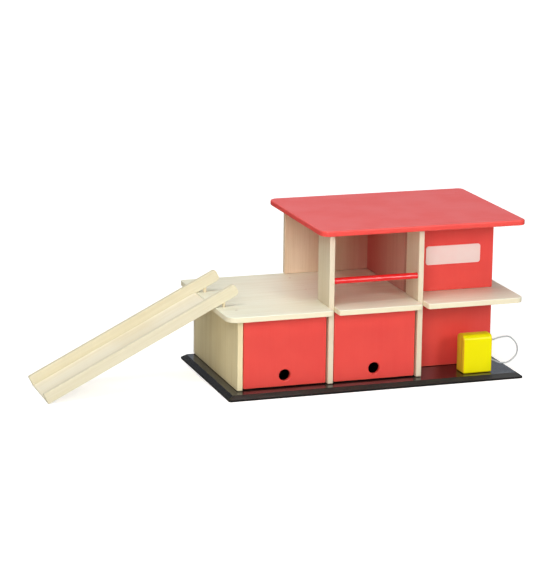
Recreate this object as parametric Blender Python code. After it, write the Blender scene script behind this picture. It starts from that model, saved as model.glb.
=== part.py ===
"""Wooden toy garage: two bays with flap doors, a shop, a parking deck, a roof, a fuel pump and a ramp.

Boards of one thickness are glued, nailed and screwed on a chamfered base. X runs to the right, Y to the
back and Z up, in metres. The origin is the middle of the base's underside.
"""
import math

import bmesh
import bpy
from mathutils import Vector

# Boards, clearances and small edges
BOARD = 0.006
GAP = 0.0003
EDGE_EASE = 0.0006
BOARD_CORNER = 0.0010
EASE_STEPS = 2
ARC_STEPS = 6
SMALL_ARC_STEPS = 2
SMALL_ARC = 0.0028

# Plan of the house, from the left edge of the base to its right edge
MARGIN_LEFT = 0.0145
BAY_WIDTH = 0.0965
SHOP_WIDTH = 0.0915
MARGIN_RIGHT = 0.017

# Plan of the house, from the front edge of the base to its back edge
MARGIN_FRONT = 0.0175
WALL_DEPTH = 0.1585
MARGIN_BACK = 0.003
PILLAR_DEPTH = 0.037

# Heights
BASE_THICKNESS = 0.006
LOWER_HEIGHT = 0.080
UPPER_HEIGHT = 0.081

# Base board
BASE_CHAMFER_WIDTH = 0.0055
BASE_CHAMFER_HEIGHT = 0.0038
BASE_CORNER = 0.0025
BASE_TOP_CORNER = 0.0010

# Parking deck
DECK_OVERHANG_LEFT = 0.0155
DECK_OVERHANG_RIGHT = 0.015
DECK_OVERHANG_FRONT = 0.0165
DECK_CORNER_LEFT = 0.013
DECK_CORNER_RIGHT = 0.008
DECK_CORNER_BACK = 0.003
SLOT_MOUTH = 0.0025

# Roof
ROOF_OVERHANG_LEFT = 0.015
ROOF_OVERHANG_RIGHT = 0.0145
ROOF_OVERHANG_FRONT = 0.0175
ROOF_OVERHANG_BACK = 0.0015
ROOF_CORNER_LEFT = 0.010
ROOF_CORNER_RIGHT = 0.007
ROOF_EASE = 0.0012

# Wall panels at the back start this far inside the left divider
UPPER_BACK_LAP = 0.003

# Railing rod between the two pillars
RAILING_DIAMETER = 0.0068
RAILING_SETBACK = 0.0051
RAILING_HEIGHT = 0.0273
RAILING_SOCKET = 0.003

# Flap doors on pivot pins near their top edge
DOOR_THICKNESS = 0.005
DOOR_RECESS = 0.003
DOOR_SIDE_GAP = 0.0015
DOOR_TOP_GAP = 0.0015
DOOR_BOTTOM_GAP = 0.0013
DOOR_CORNER = 0.0015
HINGE_DROP = 0.0035
FINGER_HOLE_DIAMETER = 0.013
FINGER_HOLE_HEIGHT = 0.0121
FINGER_HOLE_CHAMFER = 0.0005
PIN_DIAMETER = 0.0024
PIN_IN_DOOR = 0.008
PIN_WEB = 0.001

# Fuel pump with its hose loop
PUMP_WIDTH = 0.034
PUMP_DEPTH = 0.020
PUMP_HEIGHT = 0.043
PUMP_FROM_RIGHT_WALL = 0.015
PUMP_SETBACK = 0.0145
PUMP_SHOULDER = 0.006
PUMP_EASE = 0.0014
DOWEL_DIAMETER = 0.006
DOWEL_IN_PUMP = 0.012
DOWEL_IN_BASE = 0.0035
HOSE_DIAMETER = 0.0019
HOSE_SETBACK = 0.010
HOSE_SOCKET = 0.004
HOSE_STEP = 0.0042

# Ramp with two side rails that hook over the deck on pegs
RAMP_REACH = 0.183
RAMP_SETBACK = 0.0465
RAMP_LANE = 0.064
RAMP_FLOOR = 0.002
RAMP_RAIL_HEIGHT = 0.0125
RAMP_RAIL_CORNER = 0.0015
RAMP_HOOK = 0.030
RAMP_HOOK_ROUND = 0.004
RAMP_HOOK_CORNER = 0.003
RAMP_TIP = 0.0005
PEG_DIAMETER = 0.0036
PEG_REACH = 0.0099
PEG_IN_RAIL = 0.006
PEG_FROM_DECK_UNDERSIDE = 0.001

# Nails and screws
NAIL_DIAMETER = 0.0013
NAIL_HEAD_DIAMETER = 0.0028
NAIL_HEAD_THICKNESS = 0.0006
NAIL_LENGTH = 0.016
SCREW_DIAMETER = 0.0024
SCREW_HEAD_DIAMETER = 0.0048
SCREW_HEAD_HEIGHT = 0.0018
SCREW_LENGTH = 0.015
POINT_LENGTH = 0.0015
NAIL_FRONT = 0.0155
NAIL_MIDDLE = 0.085
NAIL_BACK = 0.140
NAIL_FROM_CORNER = 0.020
SCREW_FRONT = 0.030
SCREW_BACK = 0.130

# Facets round one turn
ROD_SIDES = 24
HOLE_SIDES = 32
PIN_SIDES = 16
NAIL_SIDES = 10
CUTTER_REACH = 0.001

# Places along X
BASE_WIDTH = MARGIN_LEFT + 4 * BOARD + 2 * BAY_WIDTH + SHOP_WIDTH + MARGIN_RIGHT
BASE_LEFT = -BASE_WIDTH / 2
LEFT_WALL = BASE_LEFT + MARGIN_LEFT
DIVIDER_LEFT = LEFT_WALL + BOARD + BAY_WIDTH
DIVIDER_RIGHT = DIVIDER_LEFT + BOARD + BAY_WIDTH
RIGHT_WALL = DIVIDER_RIGHT + BOARD + SHOP_WIDTH
HOUSE_RIGHT = RIGHT_WALL + BOARD
DECK_LEFT = LEFT_WALL - DECK_OVERHANG_LEFT
DECK_RIGHT = HOUSE_RIGHT + DECK_OVERHANG_RIGHT
PUMP_RIGHT = HOUSE_RIGHT - PUMP_FROM_RIGHT_WALL

# Places along Y
BASE_DEPTH = MARGIN_FRONT + WALL_DEPTH + BOARD + MARGIN_BACK
BASE_FRONT = -BASE_DEPTH / 2
WALL_FRONT = BASE_FRONT + MARGIN_FRONT
WALL_BACK = WALL_FRONT + WALL_DEPTH
HOUSE_BACK = WALL_BACK + BOARD
PILLAR_BACK = WALL_FRONT + PILLAR_DEPTH
DECK_FRONT = WALL_FRONT - DECK_OVERHANG_FRONT
SHOP_FACE = PILLAR_BACK + GAP
SHOP_BACK = SHOP_FACE + BOARD
DOOR_FACE = WALL_FRONT + DOOR_RECESS
HINGE_Y = DOOR_FACE + DOOR_THICKNESS / 2
PUMP_FRONT = BASE_FRONT + PUMP_SETBACK
RAIL_FRONT = DECK_FRONT + RAMP_SETBACK
RAIL_REAR = RAIL_FRONT + BOARD + RAMP_LANE

# Places along Z
DECK_UNDER = BASE_THICKNESS + LOWER_HEIGHT
DECK_TOP = DECK_UNDER + BOARD
ROOF_UNDER = DECK_TOP + UPPER_HEIGHT
ROOF_TOP = ROOF_UNDER + BOARD
DOOR_TOP = DECK_UNDER - DOOR_TOP_GAP
DOOR_BOTTOM = BASE_THICKNESS + DOOR_BOTTOM_GAP
HINGE_Z = DOOR_TOP - HINGE_DROP
RAILING_Y = WALL_FRONT + RAILING_SETBACK
RAILING_Z = DECK_TOP + RAILING_HEIGHT

# Ramp: its underside runs from the ground to just above the deck's left edge
RAMP_RISE = DECK_TOP + GAP
RAMP_ANGLE = math.atan2(RAMP_RISE, RAMP_REACH)
RAMP_FOOT = DECK_LEFT - RAMP_REACH
RAMP_LENGTH = math.hypot(RAMP_REACH, RAMP_RISE) + RAMP_HOOK
PEG_X = DECK_LEFT + PEG_REACH

# Hose route: offsets from the pump's right face and from the base's top, chosen by hand
HOSE_ROUTE = [
    (0.0000, 0.0333), (0.0024, 0.0336), (0.0048, 0.0341), (0.0092, 0.0353), (0.0141, 0.0362),
    (0.0188, 0.0366), (0.0225, 0.0365), (0.0262, 0.0351), (0.0293, 0.0325), (0.0319, 0.0294),
    (0.0338, 0.0259), (0.0348, 0.0220), (0.0346, 0.0181), (0.0332, 0.0148), (0.0308, 0.0118),
    (0.0276, 0.0091), (0.0240, 0.0073), (0.0202, 0.0066), (0.0163, 0.0068), (0.0124, 0.0076),
    (0.0085, 0.0094), (0.0048, 0.0111), (0.0024, 0.0120), (0.0000, 0.0128),
]


def clear_scene():
    for item in list(bpy.data.objects):
        bpy.data.objects.remove(item, do_unlink=True)


def linear(channel):
    """Linear value of an sRGB channel from 0 to 255."""
    value = channel / 255
    return value / 12.92 if value <= 0.04045 else ((value + 0.055) / 1.055) ** 2.4


def material(name, red, green, blue, roughness, metallic=0.0):
    """Finish of a piece: its colour in sRGB, how rough it is and whether it is metal."""
    made = bpy.data.materials.new(name)
    made.use_nodes = True
    shader = made.node_tree.nodes["Principled BSDF"]
    shader.inputs["Base Color"].default_value = (linear(red), linear(green), linear(blue), 1.0)
    shader.inputs["Roughness"].default_value = roughness
    shader.inputs["Metallic"].default_value = metallic
    return made


def keep(name, bm, finish, parent=None, smooth=False):
    """Turn a bmesh into a named object, with its origin on its parent's axis where it has one."""
    bmesh.ops.recalc_face_normals(bm, faces=bm.faces)
    origin = parent.location if parent else Vector((0, 0, 0))
    bmesh.ops.translate(bm, verts=bm.verts, vec=-origin)
    mesh = bpy.data.meshes.new(name)
    bm.to_mesh(mesh)
    bm.free()
    if smooth:
        mesh.shade_smooth()
        mesh.set_sharp_from_angle(angle=math.radians(35))
    mesh.materials.append(finish)
    made = bpy.data.objects.new(name, mesh)
    made.parent = parent
    bpy.context.collection.objects.link(made)
    return made


def pivot(name, place):
    """Empty on the axis of a moving body."""
    made = bpy.data.objects.new(name, None)
    made.location = place
    bpy.context.collection.objects.link(made)
    return made


def loft(bm, loops):
    """Closed solid through loops that have the same number of points."""
    rings = [[bm.verts.new(point) for point in loop] for loop in loops]
    count = len(rings[0])
    for lower, upper in zip(rings, rings[1:]):
        for i in range(count):
            j = (i + 1) % count
            bm.faces.new((lower[i], lower[j], upper[j], upper[i]))
    bm.faces.new(list(reversed(rings[0])))
    bm.faces.new(rings[-1])


def rounded(corners, inset):
    """Outline through (a, b, radius) corners, anticlockwise, with arcs, drawn in by inset."""
    outline = []
    count = len(corners)
    for i, (a, b, radius) in enumerate(corners):
        corner = Vector((a, b))
        back = (Vector(corners[i - 1][:2]) - corner).normalized()
        ahead = (Vector(corners[(i + 1) % count][:2]) - corner).normalized()
        outward = 1 if back.cross(ahead) < 0 else -1
        half = back.angle(ahead) / 2
        middle = (back + ahead).normalized()
        corner = corner + middle * outward * inset / math.sin(half)
        if radius == 0:
            outline.append(corner)
            continue
        arc = max(radius - outward * inset, radius / 10)
        centre = corner + middle * arc / math.sin(half)
        first = corner + back * arc / math.tan(half) - centre
        last = corner + ahead * arc / math.tan(half) - centre
        sweep = math.atan2(first.cross(last), first.dot(last))
        steps = SMALL_ARC_STEPS if radius < SMALL_ARC else ARC_STEPS
        for k in range(steps + 1):
            turn = sweep * k / steps
            cosine, sine = math.cos(turn), math.sin(turn)
            spoke = Vector((first.x * cosine - first.y * sine, first.x * sine + first.y * cosine))
            outline.append(centre + spoke)
    return outline


def board(name, finish, corners, axis, low, high, ease=EDGE_EASE, parent=None):
    """Board whose outline lies square to an axis, with eased edges on both faces."""
    place = {
        "X": lambda point, along: (along, point.x, point.y),
        "Y": lambda point, along: (point.x, along, point.y),
        "Z": lambda point, along: (point.x, point.y, along),
    }[axis]
    loops = []
    for k in range(EASE_STEPS + 1):
        turn = math.pi / 2 * k / EASE_STEPS
        inset, depth = ease * (1 - math.sin(turn)), ease * (1 - math.cos(turn))
        loops.append([place(point, low + depth) for point in rounded(corners, inset)])
    for k in range(EASE_STEPS + 1):
        turn = math.pi / 2 * k / EASE_STEPS
        inset, depth = ease * (1 - math.cos(turn)), ease * (1 - math.sin(turn))
        loops.append([place(point, high - depth) for point in rounded(corners, inset)])
    bm = bmesh.new()
    loft(bm, loops)
    return keep(name, bm, finish, parent)


def rectangle(a0, a1, b0, b1, radius=BOARD_CORNER):
    return [(a0, b0, radius), (a1, b0, radius), (a1, b1, radius), (a0, b1, radius)]


def turned(bm, start, direction, profile, sides):
    """Round solid along a direction from its (distance, radius) profile."""
    axis = Vector(direction).normalized()
    across = axis.orthogonal().normalized()
    upright = axis.cross(across)
    loops = []
    for distance, radius in profile:
        middle = Vector(start) + axis * distance
        turns = [2 * math.pi * (k + 0.5) / sides for k in range(sides)]
        loops.append([middle + (across * math.cos(t) + upright * math.sin(t)) * radius for t in turns])
    loft(bm, loops)


def rod_profile(length, diameter, ease=0.0):
    radius = diameter / 2
    if ease == 0:
        return [(0, radius), (length, radius)]
    return [(0, radius - ease), (ease, radius), (length - ease, radius), (length, radius - ease)]


def turned_piece(name, finish, piece, sides, parent=None):
    """Turned solid, given by its start, direction and profile."""
    bm = bmesh.new()
    turned(bm, *piece, sides)
    return keep(name, bm, finish, parent, smooth=True)


def cutter(name, pieces, sides):
    """Guide object whose turned bodies are taken out of the boards."""
    bm = bmesh.new()
    for start, direction, profile in pieces:
        turned(bm, start, direction, profile, sides)
    bmesh.ops.recalc_face_normals(bm, faces=bm.faces)
    mesh = bpy.data.meshes.new(name)
    bm.to_mesh(mesh)
    bm.free()
    made = bpy.data.objects.new(name, mesh)
    made.hide_render = True
    made.display_type = "WIRE"
    bpy.context.collection.objects.link(made)
    return made


def drill(tool, *targets):
    """Take a cutter out of each target, with one Boolean on each."""
    for target in targets:
        cut = target.modifiers.new(tool.name, "BOOLEAN")
        cut.operation = "DIFFERENCE"
        cut.solver = "EXACT"
        cut.object = tool


def nail_profile():
    head, shank = NAIL_HEAD_DIAMETER / 2, NAIL_DIAMETER / 2
    return [
        (0, head), (NAIL_HEAD_THICKNESS, head), (NAIL_HEAD_THICKNESS, shank),
        (NAIL_LENGTH - POINT_LENGTH, shank), (NAIL_LENGTH, shank / 4),
    ]


def nail_hole():
    """Hole for a nail: a seat for the head and a straight bore past the point."""
    head, shank = NAIL_HEAD_DIAMETER / 2 + GAP, NAIL_DIAMETER / 2 + GAP
    seat = NAIL_HEAD_THICKNESS + GAP
    return [(-CUTTER_REACH, head), (seat, head), (seat, shank), (NAIL_LENGTH + GAP, shank)]


def screw_profile():
    head, shank = SCREW_HEAD_DIAMETER / 2, SCREW_DIAMETER / 2
    point = SCREW_LENGTH - POINT_LENGTH
    return [(0, head), (SCREW_HEAD_HEIGHT, shank), (point, shank), (SCREW_LENGTH, shank / 4)]


def screw_hole():
    """Hole for a countersunk screw whose head lies a gap inside the face."""
    head, shank = SCREW_HEAD_DIAMETER / 2 + GAP, SCREW_DIAMETER / 2 + GAP
    return [(-CUTTER_REACH, head), (0, head), (SCREW_HEAD_HEIGHT, shank), (SCREW_LENGTH + GAP, shank)]


def make_base(paint):
    """Base board with a wide chamfer round its top."""
    right, back = -BASE_LEFT, -BASE_FRONT
    side = BASE_CHAMFER_WIDTH
    outer = rectangle(BASE_LEFT, right, BASE_FRONT, back, BASE_CORNER)
    inner = rectangle(BASE_LEFT + side, right - side, BASE_FRONT + side, back - side, BASE_TOP_CORNER)
    shoulder = BASE_THICKNESS - BASE_CHAMFER_HEIGHT
    levels = [(outer, EDGE_EASE, 0), (outer, 0, EDGE_EASE), (outer, 0, shoulder), (inner, 0, BASE_THICKNESS)]
    loops = [[(point.x, point.y, z) for point in rounded(corners, inset)] for corners, inset, z in levels]
    bm = bmesh.new()
    loft(bm, loops)
    return keep("base_board", bm, paint)


def divider_outline():
    """Profile of a divider: a low wall with a pillar that rises through the deck at its front."""
    foot, low_top, high_top = BASE_THICKNESS + GAP, DECK_UNDER - GAP, ROOF_UNDER - GAP
    return [
        (WALL_FRONT, foot, BOARD_CORNER), (WALL_BACK - GAP, foot, BOARD_CORNER),
        (WALL_BACK - GAP, low_top, BOARD_CORNER), (PILLAR_BACK, low_top, 0),
        (PILLAR_BACK, high_top, BOARD_CORNER), (WALL_FRONT, high_top, BOARD_CORNER),
    ]


def make_walls(wood, paint):
    """Upright boards of the house, by name."""
    foot, low_top = BASE_THICKNESS + GAP, DECK_UNDER - GAP
    sill, high_top = DECK_TOP + GAP, ROOF_UNDER - GAP
    side = rectangle(WALL_FRONT, WALL_BACK - GAP, foot, low_top)
    walls = {"left_wall": board("left_wall", wood, side, "X", LEFT_WALL, LEFT_WALL + BOARD)}
    for name, left in (("divider_left", DIVIDER_LEFT), ("divider_right", DIVIDER_RIGHT)):
        walls[name] = board(name, wood, divider_outline(), "X", left, left + BOARD)
    for name, finish, left, bottom, top in (("right_wall_lower", wood, RIGHT_WALL, foot, low_top),
                                            ("right_wall_upper", paint, RIGHT_WALL, sill, high_top),
                                            ("shop_side_upper", paint, DIVIDER_RIGHT, sill, high_top)):
        outline = rectangle(SHOP_BACK + GAP, WALL_BACK - GAP, bottom, top)
        walls[name] = board(name, finish, outline, "X", left, left + BOARD)
    upper_left = DIVIDER_LEFT + UPPER_BACK_LAP
    for name, left, bottom, top in (("back_wall_lower", LEFT_WALL, foot, low_top),
                                    ("back_wall_upper", upper_left, sill, high_top)):
        outline = rectangle(left, HOUSE_RIGHT, bottom, top)
        walls[name] = board(name, wood, outline, "Y", WALL_BACK, HOUSE_BACK)
    for name, left, bottom, top in (("shop_front_lower", DIVIDER_RIGHT + BOARD + GAP, foot, low_top),
                                    ("shop_front_upper", DIVIDER_RIGHT, sill, high_top)):
        outline = rectangle(left, HOUSE_RIGHT, bottom, top)
        walls[name] = board(name, paint, outline, "Y", SHOP_FACE, SHOP_BACK)
    return walls


def make_deck(wood):
    """Parking deck: one board with two slots, open to the front, that take the pillars."""
    corners = [(DECK_LEFT, DECK_FRONT, DECK_CORNER_LEFT)]
    for left in (DIVIDER_LEFT, DIVIDER_RIGHT):
        near, far, end = left - GAP, left + BOARD + GAP, PILLAR_BACK + GAP
        corners += [(near, DECK_FRONT, SLOT_MOUTH), (near, end, 0)]
        corners += [(far, end, 0), (far, DECK_FRONT, SLOT_MOUTH)]
    corners += [
        (DECK_RIGHT, DECK_FRONT, DECK_CORNER_RIGHT), (DECK_RIGHT, HOUSE_BACK, DECK_CORNER_BACK),
        (DECK_LEFT, HOUSE_BACK, DECK_CORNER_BACK),
    ]
    return board("deck", wood, corners, "Z", DECK_UNDER, DECK_TOP)


def make_roof(paint):
    left, right = DIVIDER_LEFT - ROOF_OVERHANG_LEFT, HOUSE_RIGHT + ROOF_OVERHANG_RIGHT
    front, back = WALL_FRONT - ROOF_OVERHANG_FRONT, HOUSE_BACK + ROOF_OVERHANG_BACK
    corners = [
        (left, front, ROOF_CORNER_LEFT), (right, front, ROOF_CORNER_RIGHT),
        (right, back, ROOF_CORNER_RIGHT), (left, back, ROOF_CORNER_LEFT),
    ]
    return board("roof", paint, corners, "Z", ROOF_UNDER, ROOF_TOP, ROOF_EASE)


def make_railing(paint, walls):
    """Red rod held in a blind hole in each pillar."""
    start = (DIVIDER_LEFT + BOARD - RAILING_SOCKET, RAILING_Y, RAILING_Z)
    profile = rod_profile(BAY_WIDTH + 2 * RAILING_SOCKET, RAILING_DIAMETER)
    turned_piece("railing_rod", paint, (start, (1, 0, 0), profile), ROD_SIDES)
    hole = [(-GAP, RAILING_DIAMETER / 2 + GAP), (profile[-1][0] + GAP, RAILING_DIAMETER / 2 + GAP)]
    tool = cutter("railing_sockets", [(start, (1, 0, 0), hole)], ROD_SIDES)
    drill(tool, walls["divider_left"], walls["divider_right"])


def make_door(side, left, paint, steel):
    """Flap door with a finger hole, on two pins at its top corners."""
    low, high = left + DOOR_SIDE_GAP, left + BAY_WIDTH - DOOR_SIDE_GAP
    centre = (low + high) / 2
    axis = pivot("door_" + side + "_axis", (centre, HINGE_Y, HINGE_Z))
    outline = rectangle(low, high, DOOR_BOTTOM, DOOR_TOP, DOOR_CORNER)
    door = board("door_" + side, paint, outline, "Y", DOOR_FACE, DOOR_FACE + DOOR_THICKNESS, parent=axis)

    radius, rim = FINGER_HOLE_DIAMETER / 2, FINGER_HOLE_CHAMFER
    flare = CUTTER_REACH + rim
    profile = [
        (-CUTTER_REACH, radius + flare), (rim, radius),
        (DOOR_THICKNESS - rim, radius), (DOOR_THICKNESS + CUTTER_REACH, radius + flare),
    ]
    hole = ((centre, DOOR_FACE, DOOR_BOTTOM + FINGER_HOLE_HEIGHT), (0, 1, 0), profile)
    drill(cutter("finger_hole_" + side, [hole], HOLE_SIDES), door)

    in_wall = (BOARD - PIN_WEB) / 2
    length = in_wall + DOOR_SIDE_GAP + PIN_IN_DOOR
    pins = [
        ((left - in_wall, HINGE_Y, HINGE_Z), (1, 0, 0), rod_profile(length, PIN_DIAMETER)),
        ((left + BAY_WIDTH + in_wall, HINGE_Y, HINGE_Z), (-1, 0, 0), rod_profile(length, PIN_DIAMETER)),
    ]
    for end, pin in zip(("left", "right"), pins):
        turned_piece("door_" + side + "_pin_" + end, steel, pin, PIN_SIDES, axis)
    hole = [(-GAP, PIN_DIAMETER / 2 + GAP), (length + GAP, PIN_DIAMETER / 2 + GAP)]
    tool = cutter("pin_holes_" + side, [(start, way, hole) for start, way, _ in pins], PIN_SIDES)
    drill(tool, door)
    return tool


def smooth_route(points):
    """Points at a steady step along one smooth curve through the route."""
    fine = []
    padded = [points[0] * 2 - points[1]] + points + [points[-1] * 2 - points[-2]]
    for before, start, end, after in zip(padded, padded[1:], padded[2:], padded[3:]):
        for k in range(8):
            t = k / 8
            fine.append(0.5 * (2 * start + (end - before) * t
                               + (2 * before - 5 * start + 4 * end - after) * t ** 2
                               + (3 * start - before - 3 * end + after) * t ** 3))
    fine.append(points[-1])
    length = sum((b - a).length for a, b in zip(fine, fine[1:]))
    count = round(length / HOSE_STEP)
    even, walked, target = [fine[0]], 0.0, length / count
    for a, b in zip(fine, fine[1:]):
        run = (b - a).length
        while walked + run >= target and len(even) < count:
            even.append(a.lerp(b, (target - walked) / run))
            target += length / count
        walked += run
    return even + [fine[-1]], length


def make_pump(paint, wood, plastic, base):
    """Fuel pump: a block with rounded shoulders, a dowel into the base and a stiff hose loop."""
    left, back = PUMP_RIGHT - PUMP_WIDTH, PUMP_FRONT + PUMP_DEPTH
    foot, top = BASE_THICKNESS + GAP, BASE_THICKNESS + PUMP_HEIGHT
    outline = [
        (PUMP_FRONT, foot, BOARD_CORNER), (back, foot, BOARD_CORNER),
        (back, top, PUMP_SHOULDER), (PUMP_FRONT, top, PUMP_SHOULDER),
    ]
    body = board("pump_body", paint, outline, "X", left, PUMP_RIGHT, PUMP_EASE)

    middle = ((left + PUMP_RIGHT) / 2, (PUMP_FRONT + back) / 2, BASE_THICKNESS - DOWEL_IN_BASE)
    profile = rod_profile(DOWEL_IN_BASE + DOWEL_IN_PUMP, DOWEL_DIAMETER, EDGE_EASE)
    turned_piece("pump_dowel", wood, (middle, (0, 0, 1), profile), PIN_SIDES)
    radius = DOWEL_DIAMETER / 2 + GAP
    hole = [(-GAP, radius), (DOWEL_IN_BASE + DOWEL_IN_PUMP + GAP, radius)]
    drill(cutter("dowel_hole", [(middle, (0, 0, 1), hole)], PIN_SIDES), base, body)

    plane = PUMP_FRONT + HOSE_SETBACK
    route = [Vector((PUMP_RIGHT + x, plane, BASE_THICKNESS + z)) for x, z in HOSE_ROUTE]
    inward = Vector((-HOSE_SOCKET, 0, 0))
    sockets = [(end + inward - Vector((GAP, 0, 0)), (1, 0, 0),
                [(0, HOSE_DIAMETER / 2 + GAP), (HOSE_SOCKET + CUTTER_REACH, HOSE_DIAMETER / 2 + GAP)])
               for end in (route[0], route[-1])]
    drill(cutter("hose_sockets", sockets, NAIL_SIDES), body)
    points, length = smooth_route(route)
    first, last = points[0], points[-1]
    points = [first + inward, first + inward / 2] + points + [last + inward / 2, last + inward]
    line = bpy.data.curves.new("pump_hose", "CURVE")
    line.dimensions = "3D"
    line.bevel_depth = HOSE_DIAMETER / 2
    line.bevel_resolution = 2
    line.use_fill_caps = True
    spline = line.splines.new("POLY")
    spline.points.add(len(points) - 1)
    for item, point in zip(spline.points, points):
        item.co = (*point, 1.0)
    line.materials.append(plastic)
    hose = bpy.data.objects.new("pump_hose", line)
    bpy.context.collection.objects.link(hose)
    print("hose length outside the pump in mm:", round(length * 1000, 1))


def on_ramp(along, above):
    """X and Z of a point that lies so far up the ramp's underside and so far square above it."""
    cosine, sine = math.cos(RAMP_ANGLE), math.sin(RAMP_ANGLE)
    return RAMP_FOOT + along * cosine - above * sine, along * sine + above * cosine


def make_ramp(wood, deck):
    """Lift-off ramp: a floor between two rails whose hooked ends stand on pegs in the deck."""
    seat = pivot("ramp_seat", (PEG_X, (RAIL_FRONT + RAIL_REAR + BOARD) / 2, DECK_TOP))
    hook = RAMP_HOOK_ROUND
    outline = [
        (*on_ramp(0, 0), RAMP_RAIL_CORNER / 3), (*on_ramp(RAMP_LENGTH, 0), hook),
        (*on_ramp(RAMP_LENGTH, RAMP_RAIL_HEIGHT), RAMP_HOOK_CORNER),
        (*on_ramp(0, RAMP_RAIL_HEIGHT), RAMP_RAIL_CORNER),
    ]
    rails = [
        board("ramp_rail_front", wood, outline, "Y", RAIL_FRONT, RAIL_FRONT + BOARD, parent=seat),
        board("ramp_rail_rear", wood, outline, "Y", RAIL_REAR, RAIL_REAR + BOARD, parent=seat),
    ]

    tip_x = DECK_LEFT - GAP - RAMP_TIP / math.tan(RAMP_ANGLE)
    tip_z = (tip_x - RAMP_FOOT) * math.tan(RAMP_ANGLE)
    landing_x = RAMP_FOOT + (DECK_TOP - RAMP_FLOOR / math.cos(RAMP_ANGLE)) / math.tan(RAMP_ANGLE)
    floor = [
        (*on_ramp(0, 0), 0), (tip_x, tip_z, 0), (tip_x, DECK_TOP, 0),
        (landing_x, DECK_TOP, 0), (*on_ramp(0, RAMP_FLOOR), 0),
    ]
    board("ramp_floor", wood, floor, "Y", RAIL_FRONT + BOARD + GAP, RAIL_REAR - GAP, ease=GAP, parent=seat)

    bottom = DECK_UNDER + PEG_FROM_DECK_UNDERSIDE
    underside = RAMP_RISE + PEG_REACH * math.tan(RAMP_ANGLE)
    length = underside + PEG_IN_RAIL - bottom
    places = [(PEG_X, y + BOARD / 2, bottom) for y in (RAIL_FRONT, RAIL_REAR)]
    profile = rod_profile(length, PEG_DIAMETER, EDGE_EASE / 2)
    for end, place in zip(("front", "rear"), places):
        turned_piece("ramp_peg_" + end, wood, (place, (0, 0, 1), profile), PIN_SIDES, seat)
    radius = PEG_DIAMETER / 2 + GAP
    hole = [(-PEG_FROM_DECK_UNDERSIDE - CUTTER_REACH, radius), (length + GAP, radius)]
    tool = cutter("peg_holes", [(place, (0, 0, 1), hole) for place in places], PIN_SIDES)
    drill(tool, deck, *rails)


def fasteners(name, steel, places, way, profile, hole, boards):
    """Row of equal fasteners, numbered from 1, and their holes in the boards."""
    for number, place in enumerate(places, start=1):
        turned_piece(f"{name}_{number}", steel, (place, way, profile), NAIL_SIDES)
    drill(cutter(name + "_holes", [(place, way, hole) for place in places], NAIL_SIDES), *boards)


def make_fasteners(steel, base, walls, deck, roof):
    """Nails through the roof, the deck and the back, and screws up through the base."""
    down, up, forward = (0, 0, -1), (0, 0, 1), (0, -1, 0)
    middles = {
        "left_wall": LEFT_WALL + BOARD / 2, "divider_left": DIVIDER_LEFT + BOARD / 2,
        "divider_right": DIVIDER_RIGHT + BOARD / 2, "right_wall": RIGHT_WALL + BOARD / 2,
    }
    back_middle = WALL_BACK + BOARD / 2
    nail_y = [WALL_FRONT + distance for distance in (NAIL_FRONT, NAIL_MIDDLE, NAIL_BACK)]

    roof_spots = [(middles["divider_left"], nail_y[0]), (middles["divider_right"], nail_y[0])]
    roof_spots += [(middles["divider_right"], nail_y[-1]), (middles["right_wall"], nail_y[-1])]
    shop_middle = (middles["divider_right"] + middles["right_wall"]) / 2
    roof_spots += [(x, back_middle) for x in (middles["divider_left"] + NAIL_FROM_CORNER, shop_middle)]
    names = ("divider_left", "divider_right", "shop_side_upper", "right_wall_upper", "back_wall_upper")
    boards = [roof] + [walls[name] for name in names]
    places = [(x, y, ROOF_TOP) for x, y in roof_spots]
    fasteners("roof_nail", steel, places, down, nail_profile(), nail_hole(), boards)

    deck_spots = [(middles["left_wall"], nail_y[0]), (middles["left_wall"], nail_y[-1])]
    deck_spots += [(middles[name], y) for name in ("divider_left", "divider_right") for y in nail_y[1:]]
    boards = [deck] + [walls[name] for name in ("left_wall", "divider_left", "divider_right")]
    places = [(x, y, DECK_TOP) for x, y in deck_spots]
    fasteners("deck_nail", steel, places, down, nail_profile(), nail_hole(), boards)

    low = BASE_THICKNESS + NAIL_FROM_CORNER
    heights = (low, DECK_UNDER - NAIL_FROM_CORNER)
    back_spots = [(x, z) for x in middles.values() for z in heights]
    upper = (DECK_TOP + NAIL_FROM_CORNER, ROOF_UNDER - NAIL_FROM_CORNER)
    back_spots += [(middles[name], z) for name in ("divider_right", "right_wall") for z in upper]
    boards = [wall for name, wall in walls.items() if not name.startswith("shop_front")]
    places = [(x, HOUSE_BACK, z) for x, z in back_spots]
    fasteners("back_nail", steel, places, forward, nail_profile(), nail_hole(), boards)

    screw_y = [WALL_FRONT + SCREW_FRONT, WALL_FRONT + SCREW_BACK]
    spots = [(middles[name], y) for name in ("left_wall", "divider_left", "divider_right") for y in screw_y]
    spots += [(middles["right_wall"], screw_y[1]), (shop_middle, SHOP_FACE + BOARD / 2)]
    names = ("left_wall", "divider_left", "divider_right", "right_wall_lower", "shop_front_lower")
    boards = [base] + [walls[name] for name in names]
    places = [(x, y, GAP) for x, y in spots]
    fasteners("base_screw", steel, places, up, screw_profile(), screw_hole(), boards)


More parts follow.
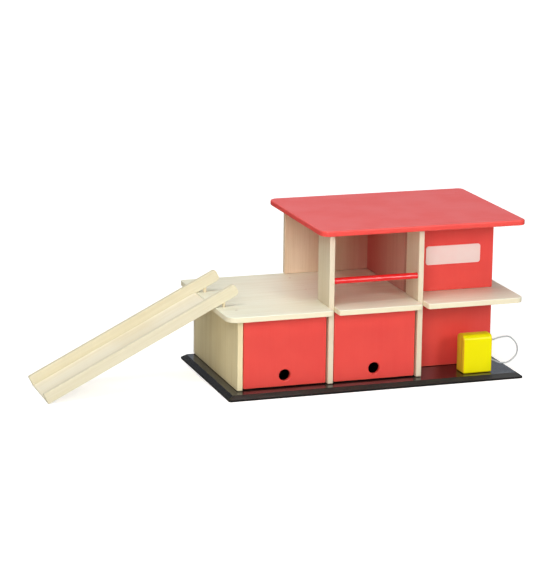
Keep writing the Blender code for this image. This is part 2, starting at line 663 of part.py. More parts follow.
def make_garage():
    clear_scene()
    wood = material("bare_wood", 236, 230, 205, 0.55)
    ramp_wood = material("ramp_wood", 224, 214, 172, 0.55)
    red = material("red_paint", 222, 48, 42, 0.38)
    black = material("black_paint", 34, 34, 34, 0.35)
    yellow = material("yellow_paint", 240, 228, 0, 0.22)
    white = material("white_plastic", 232, 234, 234, 0.35)
    steel = material("steel", 150, 148, 142, 0.40, 1.0)

    base = make_base(black)
    walls = make_walls(wood, red)
    deck = make_deck(wood)
    roof = make_roof(red)
    make_railing(red, walls)
    left_holes = make_door("left", LEFT_WALL + BOARD, red, steel)
    drill(left_holes, walls["left_wall"], walls["divider_left"])
    right_holes = make_door("right", DIVIDER_LEFT + BOARD, red, steel)
    drill(right_holes, walls["divider_left"], walls["divider_right"])
    make_pump(yellow, wood, white, base)
    make_ramp(ramp_wood, deck)
    make_fasteners(steel, base, walls, deck, roof)


make_garage()
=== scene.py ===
# %% [markdown]
# # Finishing a wooden toy garage
#
# The boards, the doors, the ramp and the fuel pump are already built, as a fixed frame of separate
# pieces in metres. This lesson gives every board its wood or its paint, bends the white hose of the
# fuel pump, makes the sign plate, and sets up a small studio with a pale floor.

# %% Load the frame
import math

import bmesh
import bpy
from mathutils import Matrix, Vector


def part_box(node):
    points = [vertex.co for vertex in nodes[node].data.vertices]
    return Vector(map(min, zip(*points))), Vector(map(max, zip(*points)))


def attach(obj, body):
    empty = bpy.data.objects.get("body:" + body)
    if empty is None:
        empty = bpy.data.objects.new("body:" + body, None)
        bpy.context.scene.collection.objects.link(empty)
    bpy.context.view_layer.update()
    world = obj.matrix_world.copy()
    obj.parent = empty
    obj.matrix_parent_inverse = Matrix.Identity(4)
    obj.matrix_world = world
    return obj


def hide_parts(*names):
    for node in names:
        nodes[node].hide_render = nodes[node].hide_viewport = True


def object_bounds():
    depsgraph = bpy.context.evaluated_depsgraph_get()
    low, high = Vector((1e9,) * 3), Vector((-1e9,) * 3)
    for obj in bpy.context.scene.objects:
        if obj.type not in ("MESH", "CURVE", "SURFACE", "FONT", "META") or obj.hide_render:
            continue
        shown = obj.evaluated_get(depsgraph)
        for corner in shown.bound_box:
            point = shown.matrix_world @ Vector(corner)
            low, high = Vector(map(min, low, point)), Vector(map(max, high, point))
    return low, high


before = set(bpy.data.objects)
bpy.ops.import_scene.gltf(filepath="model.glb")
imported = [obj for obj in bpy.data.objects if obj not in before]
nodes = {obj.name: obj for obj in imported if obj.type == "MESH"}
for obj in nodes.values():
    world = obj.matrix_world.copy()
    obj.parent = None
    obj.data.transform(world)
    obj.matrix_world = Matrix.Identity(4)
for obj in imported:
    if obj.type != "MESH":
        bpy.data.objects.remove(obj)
cad_low, cad_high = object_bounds()
MM = 0.001
print("pieces in the frame:", len(nodes))
print("the frame measures, in mm:", [round(side / MM, 1) for side in cad_high - cad_low])

# %% [markdown]
# ## The camera
#
# The garage was photographed with a long lens from its front left, a little above it. A camera can be
# aimed by eye, but here the edges of the boards gave its place and its turn. The lens of such a camera
# is long, so the garage's edges stay almost parallel.

# %% Place the camera
PICTURE_WIDTH = 533
PICTURE_HEIGHT = 586
FOCAL_PIXELS = 2420.2
OPTICAL_CENTRE = (303.1, 289.6)
CAMERA_PLACE = (-0.9108, -2.4408, 0.7261)
CAMERA_YAW = math.radians(19.289)
CAMERA_PITCH = math.radians(13.733)
CAMERA_ROLL = math.radians(0.833)
SENSOR = 36.0

long_side = max(PICTURE_WIDTH, PICTURE_HEIGHT)
lens = bpy.data.cameras.new("studio_camera")
lens.sensor_width = SENSOR
lens.lens = FOCAL_PIXELS / long_side * SENSOR
lens.shift_x = (PICTURE_WIDTH / 2 - OPTICAL_CENTRE[0]) / long_side
lens.shift_y = (OPTICAL_CENTRE[1] - PICTURE_HEIGHT / 2) / long_side
lens.clip_start = 0.1
lens.clip_end = 30.0
camera = bpy.data.objects.new("studio_camera", lens)
bpy.context.scene.collection.objects.link(camera)
turn = Matrix.Rotation(-CAMERA_YAW, 4, "Z") @ Matrix.Rotation(math.pi / 2 - CAMERA_PITCH, 4, "X")
camera.matrix_world = Matrix.Translation(CAMERA_PLACE) @ turn @ Matrix.Rotation(CAMERA_ROLL, 4, "Z")
bpy.context.scene.camera = camera
print("focal length in mm:", round(lens.lens, 1))

# %% [markdown]
# ## The hose
#
# The fuel pump's hose is a stiff white plastic tube, not quite 2 mm thick. Both of its ends are pushed
# into the pump's right side, and between them it springs into a loop that stands up by itself. The
# tube could be swept by hand from a circle, but a curve with a round bevel keeps its thickness exact,
# and automatic handles make one smooth bend of the points that the loop goes through. Half of the
# thickness is each point's radius and the bevel's depth is 1, because Blender takes the box round a
# curve from those radii.

# %% Bend the hose
HOSE_DIAMETER = 1.9 * MM
HOSE_SETBACK = 10 * MM
HOSE_IN_PUMP = 4 * MM
HOSE_ROUTE = [
    (0.0, 33.3), (4.8, 34.1), (9.2, 35.3), (14.1, 36.2), (18.8, 36.6), (22.5, 36.5), (26.2, 35.1),
    (29.3, 32.5), (31.9, 29.4), (33.8, 25.9), (34.7, 22.0), (34.5, 18.1), (33.2, 14.8), (30.8, 11.8),
    (27.6, 9.1), (24.0, 7.3), (20.2, 6.6), (16.3, 6.8), (12.4, 7.6), (8.5, 9.4), (4.8, 11.1), (0.0, 12.8),
]

pump_low, pump_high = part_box("pump_body")
base_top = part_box("base_board")[1].z
hose_y = pump_low.y + HOSE_SETBACK
route = [Vector((pump_high.x + x * MM, hose_y, base_top + z * MM)) for x, z in HOSE_ROUTE]
into_pump = Vector((-HOSE_IN_PUMP, 0, 0))
route = [route[0] + into_pump] + route + [route[-1] + into_pump]

bpy.ops.object.select_all(action="DESELECT")
bpy.ops.curve.primitive_bezier_curve_add(location=(0, 0, 0))
hose = bpy.context.object
hose.name = "fuel_hose"
hose.data.name = "fuel_hose"
bend = hose.data.splines[0]
bend.bezier_points.add(len(route) - len(bend.bezier_points))
for point, place in zip(bend.bezier_points, route):
    point.co = place
    point.handle_left_type = point.handle_right_type = "AUTO"
    point.radius = HOSE_DIAMETER / 2
bend.resolution_u = 6
hose.data.bevel_depth = 1.0
hose.data.bevel_resolution = 4
hose.data.use_fill_caps = True

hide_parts("pump_hose")
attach(hose, "garage")

# %% [markdown]
# ## Sums on a surface
#
# A finish is made of patterns: fibres, patches, a little wear along an edge. Each pattern is a number
# that varies over the surface, and Blender joins such numbers with Math nodes. Placing those nodes one
# by one hides the sum that they make, so a small class does it: an Amount wraps a socket, and writing
# 1 - amount * 2 adds the nodes for it. A second class holds a node tree and adds every other node.

# %% Amounts that add their own nodes
class Amount:
    """A number or vector that varies over a surface. A sum on it adds a Math node."""

    def __init__(self, tree, socket):
        self.tree = tree
        self.socket = socket

    def join(self, operation, *terms):
        node = self.tree.nodes.new("ShaderNodeMath")
        node.operation = operation
        for place, term in zip(node.inputs, terms):
            if isinstance(term, Amount):
                self.tree.links.new(term.socket, place)
            else:
                place.default_value = term
        return Amount(self.tree, node.outputs[0])

    def __add__(self, other):
        return self.join("ADD", self, other)

    def __sub__(self, other):
        return self.join("SUBTRACT", self, other)

    def __rsub__(self, other):
        return self.join("SUBTRACT", other, self)

    def __mul__(self, other):
        return self.join("MULTIPLY", self, other)

    def __truediv__(self, other):
        return self.join("DIVIDE", self, other)

    __radd__ = __add__
    __rmul__ = __mul__

    def least(self, other):
        return self.join("MINIMUM", self, other)

    def most(self, other):
        return self.join("MAXIMUM", self, other)


# %% A finish that adds all other nodes
class Finish:
    """The node tree of a material or of the world, while it is being made."""

    def __init__(self, owner):
        owner.use_nodes = True
        self.owner = owner
        self.tree = owner.node_tree

    def node(self, kind, sockets=(), out=0, **settings):
        """Add a node: first its settings, then the values or links of its sockets."""
        made = self.tree.nodes.new(kind)
        for name, value in settings.items():
            setattr(made, name, value)
        self.plug(made, sockets)
        return Amount(self.tree, made.outputs[out])

    def plug(self, node, sockets):
        for name, value in dict(sockets).items():
            if isinstance(value, Amount):
                self.tree.links.new(value.socket, node.inputs[name])
            else:
                node.inputs[name].default_value = value

    def place(self, scale=(1, 1, 1), turn=(0, 0, 0), shift=(0, 0, 0), start=None):
        """Object coordinates in metres, scaled, then turned, then moved."""
        start = start or self.node("ShaderNodeTexCoord", out="Object")
        settings = {"Vector": start, "Scale": scale, "Rotation": turn, "Location": shift}
        return self.node("ShaderNodeMapping", settings)

    def noise(self, place, detail):
        """Smooth noise of one wave to a unit, about 0.5 on average. Detail adds finer waves."""
        return self.node("ShaderNodeTexNoise", {"Vector": place, "Scale": 1.0, "Detail": detail})

    def fade(self, amount, start, end):
        """From 0 at start to 1 at end, with soft ends."""
        sockets = {"Value": amount, "From Min": start, "From Max": end}
        return self.node("ShaderNodeMapRange", sockets, interpolation_type="SMOOTHSTEP")

    def tint(self, first, second, share):
        """Colour that goes from the first to the second as the share goes from 0 to 1."""
        sockets = {0: share, 6: first, 7: second}
        return self.node("ShaderNodeMix", sockets, out=2, data_type="RGBA")

    def bump(self, height, depth):
        """Normal of a surface that rises by depth, in metres, where the height is 1."""
        return self.node("ShaderNodeBump", {"Height": height, "Distance": depth})


def srgb(red, green, blue):
    """Linear colour of three channels from 0 to 255, as colour pickers show them."""
    levels = [channel / 255 for channel in (red, green, blue)]
    linear = [
        level / 12.92 if level <= 0.04045 else ((level + 0.055) / 1.055) ** 2.4 for level in levels
    ]
    return (*linear, 1.0)


# %% [markdown]
# ## The studio
#
# The garage stands on a pale floor in a white room. Five soft lamps light it, as in a studio for small
# goods: a large one low in front, a smaller one on the right that draws the thin highlights along the
# rod and the pump's shoulder, one on the left, one above for the tops and one behind for the back. The
# room's own light is faint, which keeps the bays dark.
#
# The background is white for the camera only: lighting the object with all of that white would
# flatten it. What a gloss paint mirrors matters as much as what lights it, so the room shows its
# reflections a bluish band near the horizon, a dark wall and a bright ceiling, and the floor shows
# them a dark grey, because otherwise its white lies over every face that is seen at a slant.

# %% Light the studio
ROOM_LIGHT = (0.05, 0.05, 0.05, 1)  # linear, and so are the next three
MIRROR_LOW = (0.66, 0.72, 0.82, 1)
MIRROR_MIDDLE = (0.05, 0.05, 0.05, 1)
MIRROR_HIGH = (1.2, 1.2, 1.2, 1)
MIRROR_LOW_TOP = (0.28, 0.32)  # where each band gives way to the next, as the sine of its height
MIRROR_HIGH_FOOT = (0.70, 0.88)
WHITE = (1, 1, 1, 1)
BLACK = (0, 0, 0, 1)
LAMP_DISTANCE = 2.4  # metres
LAMPS = {  # degrees to the right of the front, degrees up, diameter in metres, watts
    "front": (-25, 22, 1.1, 23.5),
    "right": (24, 20, 0.7, 13.5),
    "left": (-60, 50, 1.1, 14.5),
    "above": (-10, 75, 1.6, 19.5),
    "behind": (180, 50, 1.6, 12.0),
}


def rays(finish, *kinds):
    """1 for a ray of one of the kinds, otherwise 0."""
    found = 0.0
    for kind in kinds:
        found = finish.node("ShaderNodeLightPath", out=f"Is {kind} Ray").most(found)
    return found


scene = bpy.context.scene
scene.view_settings.view_transform = "Standard"
scene.world = bpy.data.worlds.new("studio_room")
room = Finish(scene.world)
direction = room.node("ShaderNodeTexCoord", out="Generated")
height = room.node("ShaderNodeSeparateXYZ", {"Vector": direction}, out="Z")
mirrored = room.tint(MIRROR_LOW, MIRROR_MIDDLE, room.fade(height, *MIRROR_LOW_TOP))
mirrored = room.tint(mirrored, MIRROR_HIGH, room.fade(height, *MIRROR_HIGH_FOOT))
given = room.tint(ROOM_LIGHT, mirrored, rays(room, "Glossy"))
given = room.tint(given, WHITE, rays(room, "Camera", "Transmission"))
room.plug(room.tree.nodes["Background"], {"Color": given, "Strength": 1.0})

# %% Hang the lamps
aim = Vector((0, 0, (cad_low.z + cad_high.z) / 2))
for name, (azimuth, elevation, size, power) in LAMPS.items():
    aside, up = math.radians(azimuth), math.radians(elevation)
    towards = Vector((math.sin(aside) * math.cos(up), -math.cos(aside) * math.cos(up), math.sin(up)))
    softbox = bpy.data.lights.new("softbox_" + name, "AREA")
    softbox.shape = "DISK"
    softbox.size = size
    softbox.energy = power
    lamp = bpy.data.objects.new("softbox_" + name, softbox)
    lamp.location = aim + towards * LAMP_DISTANCE
    lamp.rotation_euler = towards.to_track_quat("Z", "Y").to_euler()
    scene.collection.objects.link(lamp)
    print(name, "lamp at, in metres:", [round(value, 2) for value in lamp.location])

# %% Lay the floor
FLOOR_SIZE = 12.0
FLOOR_COLOUR = srgb(236, 235, 232)
FLOOR_MIRRORED = srgb(96, 92, 90)
FLOOR_GLOW_NEAR = (0.60, 0.60, 0.60, 1)
FLOOR_GLOW_FAR = (1.1, 1.1, 1.1, 1)
FLOOR_FADE = (0.5, 3.5)  # metres from the middle

bpy.ops.object.select_all(action="DESELECT")
bpy.ops.mesh.primitive_plane_add(size=FLOOR_SIZE, location=(0, 0, 0))
floor = bpy.context.object
floor.name = "studio_floor"
paper = Finish(bpy.data.materials.new("studio_paper"))
away = paper.node("ShaderNodeVectorMath", {0: paper.place()}, out="Value", operation="LENGTH")
glow = paper.tint(FLOOR_GLOW_NEAR, FLOOR_GLOW_FAR, paper.fade(away, *FLOOR_FADE))
paper.plug(paper.tree.nodes["Principled BSDF"], {
    "Base Color": paper.tint(FLOOR_COLOUR, FLOOR_MIRRORED, rays(paper, "Glossy")),
    "Roughness": 0.9, "Specular IOR Level": 0.0,
    "Emission Color": paper.tint(BLACK, glow, rays(paper, "Camera", "Transmission")),
    "Emission Strength": 1.0,
})
floor.data.materials.append(paper.owner)
print("floor in metres:", FLOOR_SIZE)

# %% [markdown]
# ## Where a board's edges are
#
# Handling wears the edges of a board first. Blender can find edges while it renders, but that is slow
# and doesn't survive an export. A board is a box, so its edges can be worked out instead: on a face
# one of the three distances to the box's sides is nothing, and the next smallest is the way to the
# nearest edge. The ramp's boards lean, so their box is measured in the ramp's own direction.

# %% Measure a board
def board_box(name, turn=Matrix.Identity(3)):
    """Lowest and highest corner of a node, seen in a frame that is turned."""
    points = [turn @ vertex.co for vertex in nodes[name].data.vertices]
    low = Vector([min(point[k] for point in points) for k in range(3)])
    high = Vector([max(point[k] for point in points) for k in range(3)])
    return low, high


def edge_distance(finish, place, low, high):
    """Way in metres from a point on a box's surface to the nearest of its edges."""
    split = finish.tree.nodes.new("ShaderNodeSeparateXYZ")
    finish.plug(split, {"Vector": place})
    ways = []
    for k in range(3):
        along = Amount(finish.tree, split.outputs[k])
        ways.append((along - low[k]).least(high[k] - along))
    nearer, farther = ways[0].least(ways[1]), ways[0].most(ways[1])
    return nearer.most(farther.least(ways[2])), split


# %% [markdown]
# ## Bare wood
#
# The walls, the deck and the back are birch plywood with a thin clear coat. Seen close it has long
# fine fibres, soft darker bands a few millimetres wide, short flecks, and on its edges the thin lines
# of glue between the layers. Each of these is a stretched noise or a few sums, laid along the board's
# own grain. Every board gets its own shift through the noise, so no two boards look the same. Solid
# wood, as in the ramp, has no layers, and a board that leans has its patterns leaned with it. Where
# one more tone lies over a part of a board, it is a blush: the tone, and a sum that says where it lies.

# %% Lay out the grain
GRAIN_WAVES = {"bands": 5, "fibres": 24, "flecks": 240}  # to a metre along the grain
CROSS_WAVES = {"bands": 120, "fibres": 1300, "flecks": 3400}  # and across it
WAVE_DETAIL = {"bands": 3.0, "fibres": 3.0, "flecks": 1.0}


def stretched(grain, along, across):
    """Scale of a pattern that is drawn out along the X, Y or Z axis."""
    return tuple(along if axis == grain else across for axis in "XYZ")


def wood_patterns(finish, place, grain, seed):
    """Bands, fibres and flecks of a board whose grain runs along an axis, each about 0 to 1."""
    shift = (seed * 3.7, seed * 1.9, seed * 5.3)
    found = {}
    for name, detail in WAVE_DETAIL.items():
        scale = stretched(grain, GRAIN_WAVES[name], CROSS_WAVES[name])
        found[name] = finish.noise(finish.place(scale, shift=shift, start=place), detail)
    return found


print("waves across the grain, to a metre:", CROSS_WAVES)

# %% Mix the bare wood
PLY = 1.2 * MM
GLUE_LINE = 0.10  # share of a layer
COAT_ROUGHNESS = 0.42
WOOD_RELIEF = 0.03 * MM


def glue_lines(finish, along, low):
    """1 on the thin lines between the layers of plywood."""
    depth = (along - low) / PLY
    within = depth.join("FRACT", depth)
    return finish.fade(within.least(1 - within), GLUE_LINE, GLUE_LINE / 3)


def blushed(finish, colour, split, blush):
    """Colour with a tone spread over it. A blush is the tone and a function of X, Y and Z for its share."""
    if not blush:
        return colour
    tone, spread = blush
    share = spread(finish, *(Amount(finish.tree, output) for output in split.outputs))
    return finish.tint(colour, tone, share)


def bare_wood(
    name, grain, box, seed, pale, dark, layers=None, lean=0.0, roughness=COAT_ROUGHNESS, blush=None,
):
    """Clear-coated wood, with plywood's layers stacked along an axis if it has them."""
    finish = Finish(bpy.data.materials.new(name))
    place = finish.place(turn=(0, lean, 0))
    found = wood_patterns(finish, place, grain, seed)
    way, split = edge_distance(finish, place, *box)
    bands = finish.fade(found["bands"], 0.30, 0.75)
    fibres = finish.fade(found["fibres"], 0.32, 0.78)
    flecks = finish.fade(found["flecks"], 0.67, 0.75)
    worn = finish.fade(way + found["bands"] * (0.8 * MM), 1.8 * MM, 0.6 * MM)
    share = bands * 0.24 + fibres * 0.26 + flecks * 0.26 + worn * 0.10
    if layers:
        axis = "XYZ".index(layers)
        glue = glue_lines(finish, Amount(finish.tree, split.outputs[axis]), box[0][axis])
        share = share + glue * 0.25
    finish.plug(finish.tree.nodes["Principled BSDF"], {
        "Base Color": blushed(finish, finish.tint(pale, dark, share), split, blush),
        "Roughness": roughness + fibres * 0.10 + worn * 0.06,
        "Normal": finish.bump(fibres * 0.6 + bands * 0.4 - flecks * 0.5, WOOD_RELIEF),
    })
    return finish.owner


# %% [markdown]
# ## Paint
#
# The doors, the roof, the shop's boards and the rod are sprayed red and the base black. Paint on wood
# is never quite even: the grain shows through as fine ridges, the colour is a shade deeper in some
# patches, and it is thinner and lighter where an edge was rounded over. Only the roof got a second coat,
# so its edges are as red as the rest of it.

# %% Mix the paint
PAINT_RELIEF = 0.02 * MM


def paint(name, grain, box, seed, tones, roughness, blush=None):
    """Sprayed paint on a board, with the wood's grain showing through it.

    The tones are the colour, the one of deeper patches and the one of thin coats on edges.
    """
    colour, deep, thin = tones
    finish = Finish(bpy.data.materials.new(name))
    place = finish.place()
    found = wood_patterns(finish, place, grain, seed)
    way, split = edge_distance(finish, place, *box)
    patches = finish.fade(finish.noise(finish.place((26, 26, 26), start=place), 3.0), 0.30, 0.70)
    fibres = finish.fade(found["fibres"], 0.30, 0.80)
    peel = finish.noise(finish.place((900, 900, 900), start=place), 1.0)
    worn = finish.fade(way + found["bands"] * (1.0 * MM), 1.9 * MM, 0.8 * MM)

    body = finish.tint(colour, deep, patches * 0.25 + found["bands"] * 0.25 + fibres * 0.12)
    body = finish.tint(body, thin, worn * 0.35)
    finish.plug(finish.tree.nodes["Principled BSDF"], {
        "Base Color": blushed(finish, body, split, blush),
        "Roughness": roughness + fibres * 0.05 + patches * 0.05,
        "Normal": finish.bump(fibres * 0.7 + peel * 0.5, PAINT_RELIEF),
    })
    return finish.owner


# %% [markdown]
# ## The bare boards
#
# Seven boards are bare birch. The deck is the palest of them, and its top's pale, cool tone is partly a
# painted sheen; the left wall is the yellowest. The back wall of the upper storey is a little pinker, which
# is painted red light from the red boards round it, and it is dressed together with the side board, further
# on. The deck's rim and underside show the wood's own warmer tone, without the top's painted sheen.

# %% Dress the bare boards
BIRCH_TONES = (srgb(243, 232, 208), srgb(210, 189, 148))
BOARD_TONES = {
    # The deck's tones are its paler birch with a painted sheen of its top mixed in.
    "deck": (srgb(249, 251, 232), srgb(221, 214, 181)),
    "left_wall": (srgb(248, 235, 193), srgb(224, 203, 151)),
    # The back wall's pink is painted red light from the red boards round it.
    "back_wall_upper": (srgb(240, 220, 193), srgb(208, 178, 138)),
}
# The wood's own warmer tone, for the deck's rim and underside, which lack the painted sheen.
DECK_RIM = srgb(240, 226, 190)
DECK_RIM_BELOW_TOP = 1 * MM
DECK_RIM_SHARE = 0.7

deck_top = board_box("deck")[1].z


def dress(name, material):
    """Give a node its finish."""
    nodes[name].material_slots[0].material = material


def rim(finish, x, y, z):
    """All of the deck but its top."""
    below = finish.fade(z, deck_top - DECK_RIM_BELOW_TOP / 2, deck_top - DECK_RIM_BELOW_TOP)
    return below * DECK_RIM_SHARE


birch_boards = [
    ("left_wall", "Z", "X"), ("divider_left", "Z", "X"), ("divider_right", "Z", "X"),
    ("right_wall_lower", "Z", "X"), ("back_wall_lower", "X", "Y"), ("deck", "X", "Z"),
]
for seed, (name, grain, layers) in enumerate(birch_boards, start=1):
    tones = BOARD_TONES.get(name, BIRCH_TONES)
    blush = (DECK_RIM, rim) if name == "deck" else None
    box = board_box(name)
    dress(name, bare_wood("birch_" + name, grain, box, seed, *tones, layers, blush=blush))
print("bare boards so far:", len(birch_boards))

# %% Dress the painted boards
RED = srgb(244, 83, 73)
RED_DEEP = srgb(233, 60, 57)
RED_THIN = srgb(246, 107, 82)
BOARD_RED = (RED, RED_DEEP, RED_THIN)
ROOF_RED = (RED, RED_DEEP, RED)
ROD_RED = (srgb(238, 44, 44), srgb(226, 32, 36), srgb(240, 60, 50))
BASE_BLACK = (srgb(29, 27, 26), srgb(20, 19, 18), srgb(56, 52, 47))
SATIN, HALF_GLOSS, GLOSS = 0.32, 0.16, 0.06

red_boards = [
    ("shop_front_lower", "Z", 21, BOARD_RED, SATIN), ("right_wall_upper", "Z", 22, BOARD_RED, SATIN),
    ("door_left", "Z", 23, BOARD_RED, SATIN), ("door_right", "Z", 24, BOARD_RED, SATIN),
    ("roof", "X", 25, ROOF_RED, SATIN), ("railing_rod", "X", 29, ROD_RED, GLOSS),
]
for name, grain, seed, tones, roughness in red_boards:
    dress(name, paint("red_" + name, grain, board_box(name), seed, tones, roughness))
dress("base_board", paint("black_base", "X", board_box("base_board"), 31, BASE_BLACK, HALF_GLOSS))
print("red pieces:", len(red_boards))

# %% [markdown]
# ## The shop's side board
#
# The frame has a board that closes the shop's upper room towards the open storey. The real toy probably
# has none, and the dark red that is seen there is more likely a reflection. So this finish only follows
# the colours of that place, as painted shade and painted red reflection: a thin red over upright fibres,
# full in the back corner and nearly gone at the front edge, some painted red light on the inside of the
# back wall beside it, and a bare end on the front board that meets it, darkened with painted shade. Each
# of the three is a blush.

# %% Say where the painted red light and shade lie
# Widths and shares of the painted shade and painted red reflection.
SHADE_FROM_FRONT = 10 * MM
SHADE_SHARE = 0.95
REFLECTION_REACH = 45 * MM
REFLECTION_DEPTH = 1 * MM
REFLECTION_SHARE = 0.55
SHADED_END_DEPTH = 0.8 * MM

side_box = board_box("shop_side_upper")
back_box = board_box("back_wall_upper")
front_box = board_box("shop_front_upper")


def painted_shade_share(finish, x, y, z):
    """Share of the painted shade and red: full at the back, gone a little way from the front edge."""
    return finish.fade(y, side_box[0].y + SHADE_FROM_FRONT, side_box[1].y) * SHADE_SHARE


def red_reflection(finish, x, y, z):
    """Share of the painted red reflection: on the face towards the room, up to the side board."""
    inside = finish.fade(y, back_box[0].y + 2 * REFLECTION_DEPTH, back_box[0].y + REFLECTION_DEPTH)
    return finish.fade(x, side_box[0].x - REFLECTION_REACH, side_box[0].x) * inside * REFLECTION_SHARE


def shaded_bare_end(finish, x, y, z):
    """Share of the painted shade on the bare end: only the board's left end."""
    return finish.fade(x, front_box[0].x + SHADED_END_DEPTH, front_box[0].x + SHADED_END_DEPTH / 4)


print("side board in mm:", [round(side / MM, 1) for side in side_box[1] - side_box[0]])

# %% Paint shade and reflected red on the side board and its neighbours
# The side board's tones and the red on it and on the back wall are painted shade and painted red
# reflection.
SHADED_RED_TONES = (srgb(212, 156, 140), srgb(178, 106, 92))
REFLECTED_RED = srgb(204, 88, 80)
# Bare wood darkened with painted shade, for the front board's left end.
SHADED_BARE_END = srgb(176, 122, 104)
SIDE_BOARD_ROUGHNESS = 0.28

dress("shop_side_upper", bare_wood(
    "shaded_shop_side", "Z", side_box, 30, *SHADED_RED_TONES,
    roughness=SIDE_BOARD_ROUGHNESS, blush=(REFLECTED_RED, painted_shade_share),
))
dress("back_wall_upper", bare_wood(
    "birch_back_wall_upper", "Z", back_box, 8, *BOARD_TONES["back_wall_upper"], "Y",
    blush=(REFLECTED_RED, red_reflection),
))
dress("shop_front_upper", paint(
    "red_shop_front_upper", "Z", front_box, 28, BOARD_RED, SATIN, blush=(SHADED_BARE_END, shaded_bare_end),
))
# Reach of the painted red reflection on the back wall.
print("reach of the drift in mm:", round(REFLECTION_REACH / MM, 1))

# %% [markdown]
# ## The fuel pump's paint
#
# The pump is a block of solid wood in bright yellow. Its front and back show long grain, which takes
# the paint evenly. Its two sides are drier and drink the paint, so they stay ochre and streaky, and
# on the rounded edges between them a thin orange line shows. The sides are found by their place: on
# them, the distance to the block's left or right end is nothing.

# %% Paint the pump
YELLOW = srgb(247, 240, 2)
YELLOW_DEEP = srgb(242, 228, 0)
OCHRE = srgb(250, 226, 44)
OCHRE_DARK = srgb(232, 176, 50)
ORANGE = srgb(232, 168, 10)

pump_box = board_box("pump_body")
pump = Finish(bpy.data.materials.new("yellow_pump"))
place = pump.place()
found = wood_patterns(pump, place, "Z", 41)
way, split = edge_distance(pump, place, *pump_box)
across = Amount(pump.tree, split.outputs[0])
sides = pump.fade((across - pump_box[0].x).least(pump_box[1].x - across), 1.0 * MM, 0.3 * MM)
streaks = pump.fade(pump.noise(pump.place((1, 700, 18), start=place), 3.0), 0.32, 0.68)
worn = pump.fade(way + found["bands"] * (0.8 * MM), 2.0 * MM, 1.0 * MM)
front = pump.tint(YELLOW, YELLOW_DEEP, found["bands"] * 0.4 + found["fibres"] * 0.3)
ends = pump.tint(OCHRE, OCHRE_DARK, streaks)
pump.plug(pump.tree.nodes["Principled BSDF"], {
    "Base Color": pump.tint(pump.tint(front, ends, sides), ORANGE, worn * 0.35),
    "Specular IOR Level": 0.15,
    "Roughness": 0.20 + found["fibres"] * 0.06 + sides * 0.18,
    "Normal": pump.bump(found["fibres"] * 0.5 + streaks * sides, WOOD_RELIEF),
})
dress("pump_body", pump.owner)
print("pump in mm:", [round(side / MM, 1) for side in pump_box[1] - pump_box[0]])

# %% [markdown]
# ## The ramp
#
# The ramp is a thin floor glued between two solid rails, a little yellower and greener than the house.
# Its grain runs up the slope. The slope isn't written down again here: it follows from the ramp's own
# lowest point and from where the deck's left edge meets it.

# %% Finish the ramp
RAIL_PALE, RAIL_DARK = srgb(231, 223, 196), srgb(208, 194, 150)
LANE_PALE, LANE_DARK = srgb(249, 242, 220), srgb(228, 212, 172)

foot = min((vertex.co for vertex in nodes["ramp_floor"].data.vertices), key=lambda co: co.x)
deck_low, deck_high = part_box("deck")
slope = math.atan2(deck_high.z, deck_low.x - foot.x)
level = Matrix.Rotation(slope, 3, "Y")
print("slope of the ramp in degrees:", round(math.degrees(slope), 1))
ramp_boards = [
    ("ramp_rail_front", RAIL_PALE, RAIL_DARK, None), ("ramp_rail_rear", RAIL_PALE, RAIL_DARK, None),
    ("ramp_floor", LANE_PALE, LANE_DARK, "Z"),
]
for seed, (name, pale, dark, layers) in enumerate(ramp_boards, start=51):
    box = board_box(name, level)
    dress(name, bare_wood("pine_" + name, "X", box, seed, pale, dark, layers, slope))

# %% Finish the pegs and the dowel
PEG_TONES = (srgb(238, 226, 196), srgb(214, 194, 156))

round_pieces = ("ramp_peg_front", "ramp_peg_rear", "pump_dowel")
for seed, name in enumerate(round_pieces, start=61):
    dress(name, bare_wood("beech_" + name, "Z", board_box(name), seed, *PEG_TONES))
print("round pieces of wood:", len(round_pieces))

# %% [markdown]
# ## Nails, screws and pins
#
# The roof was painted after it was nailed, so its nail heads are red. The nails in the deck were sunk
# and filled, which leaves small greyish dots. The nails in the back, the screws underneath and the
# doors' pins are plain steel: wire drawn through a die, so with fine lines and a dull grey skin.

# %% Mix the steel
WIRE_RELIEF = 0.01 * MM


def steel(name, bright, dull):
    """Drawn steel wire with a dull skin that is rubbed bright in places."""
    finish = Finish(bpy.data.materials.new(name))
    place = finish.place()
    lines = finish.noise(finish.place((2600, 300, 2600), start=place), 2.0)
    skin = finish.fade(finish.noise(finish.place((420, 420, 420), start=place), 3.0), 0.35, 0.65)
    finish.plug(finish.tree.nodes["Principled BSDF"], {
        "Base Color": finish.tint(bright, dull, skin * 0.7 + lines * 0.3),
        "Metallic": 1.0 - skin * 0.15,
        "Roughness": 0.28 + skin * 0.22 + lines * 0.08,
        "Normal": finish.bump(lines, WIRE_RELIEF),
    })
    return finish.owner


steel_wire = steel("steel_wire", srgb(190, 188, 182), srgb(120, 116, 110))
print("steel:", steel_wire.name)

# %% Finish the nails, screws and pins
FILLER_TONES = (srgb(220, 210, 188), srgb(186, 172, 148))

counts = {"steel": 0, "red": 0, "filled": 0}
for name in nodes:
    if name.startswith("roof_nail"):
        kind = "red"
        dress(name, paint("red_" + name, "X", board_box(name), 71, BOARD_RED, SATIN))
    elif name.startswith("deck_nail"):
        kind = "filled"
        dress(name, bare_wood("filler_" + name, "X", board_box(name), 81, *FILLER_TONES))
    elif name.startswith(("back_nail", "base_screw")) or "_pin_" in name:
        kind = "steel"
        dress(name, steel_wire)
    else:
        continue
    counts[kind] += 1
print("nails, screws and pins:", counts)

# %% [markdown]
# ## The sign
#
# A small plate with rounded corners is glued to the shop's upper front. It is pale and pinkish, and it
# stays bare here. It starts as a cube of the plate's size. Its four short edges are beveled into the
# corners, and then the rim of its face is eased, so that it catches a thin line of light.

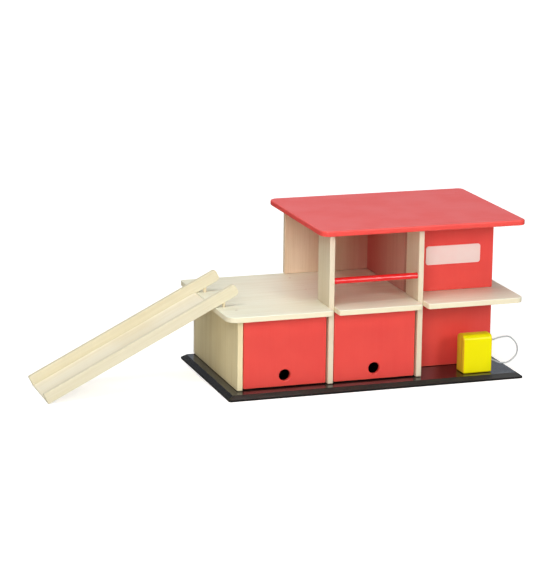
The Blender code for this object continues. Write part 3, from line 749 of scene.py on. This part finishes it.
# %% Make the sign plate
SIGN_WIDTH = 64.5 * MM
SIGN_HEIGHT = 21 * MM
SIGN_THICKNESS = 0.8 * MM
SIGN_CORNER = 3 * MM
SIGN_EASE = 0.25 * MM
SIGN_FROM_LEFT = 23 * MM
SIGN_ABOVE_DECK = 30 * MM


def pick_edges(piece, test):
    """Select the edges of a piece in edit mode that pass a test."""
    bpy.ops.mesh.select_mode(type="EDGE")
    bpy.ops.mesh.select_all(action="DESELECT")
    shape = bmesh.from_edit_mesh(piece.data)
    for edge in shape.edges:
        if test(edge):
            edge.select_set(True)
    bmesh.update_edit_mesh(piece.data)


front_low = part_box("shop_front_upper")[0]
sign_middle = Vector((
    front_low.x + SIGN_FROM_LEFT + SIGN_WIDTH / 2,
    front_low.y - SIGN_THICKNESS / 2,
    deck_high.z + SIGN_ABOVE_DECK + SIGN_HEIGHT / 2,
))
bpy.ops.object.select_all(action="DESELECT")
sign_size = (SIGN_WIDTH, SIGN_THICKNESS, SIGN_HEIGHT)
bpy.ops.mesh.primitive_cube_add(size=1, location=sign_middle, scale=sign_size)
sign = bpy.context.object
sign.name = "sign_plate"
bpy.ops.object.transform_apply(location=True, rotation=True, scale=True)
sign_face = sign_middle.y - SIGN_THICKNESS / 2
bpy.ops.object.mode_set(mode="EDIT")
pick_edges(sign, lambda edge: abs(edge.verts[0].co.y - edge.verts[1].co.y) > SIGN_THICKNESS / 2)
bpy.ops.mesh.bevel(offset=SIGN_CORNER, segments=8, affect="EDGES")
pick_edges(sign, lambda edge: all(abs(corner.co.y - sign_face) < SIGN_EASE / 10 for corner in edge.verts))
bpy.ops.mesh.bevel(offset=SIGN_EASE, segments=3, affect="EDGES")
bpy.ops.object.mode_set(mode="OBJECT")
bpy.ops.object.shade_smooth_by_angle(angle=math.radians(40))
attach(sign, "garage")
print("sign plate's middle, in mm:", [round(value / MM, 1) for value in sign_middle])

# %% [markdown]
# ## Smooth plastic
#
# The sign and the hose are smooth and satiny. Smooth doesn't mean even: a moulded or printed surface
# has faint clouds in its gloss and a few specks of dust, which is what tells it from a flat colour.

# %% Mix the smooth plastic
PLASTIC_RELIEF = 0.02 * MM
SIGN_TONES = (srgb(246, 226, 219), srgb(245, 216, 210))
SIGN_ROUGHNESS = 0.30
# The hose is white plastic; its grey tones are painted shade.
HOSE_SHADED_TONES = (srgb(204, 208, 210), srgb(190, 195, 197))
HOSE_ROUGHNESS = 0.34


def smooth_plastic(name, pale, shade, roughness):
    """Satin plastic with faint clouds and specks."""
    finish = Finish(bpy.data.materials.new(name))
    place = finish.place()
    clouds = finish.fade(finish.noise(finish.place((70, 70, 70), start=place), 2.0), 0.30, 0.70)
    specks = finish.fade(finish.noise(finish.place((1700, 1700, 1700), start=place), 1.0), 0.66, 0.76)
    finish.plug(finish.tree.nodes["Principled BSDF"], {
        "Base Color": finish.tint(pale, shade, clouds * 0.6 + specks * 0.4),
        "Roughness": roughness + clouds * 0.08 + specks * 0.15,
        "Normal": finish.bump(clouds + specks * 0.4, PLASTIC_RELIEF),
    })
    return finish.owner


sign.data.materials.append(smooth_plastic("sign_face", *SIGN_TONES, SIGN_ROUGHNESS))
hose.data.materials.append(smooth_plastic("hose_plastic", *HOSE_SHADED_TONES, HOSE_ROUGHNESS))
print("plastic pieces:", sign.name, hose.name)
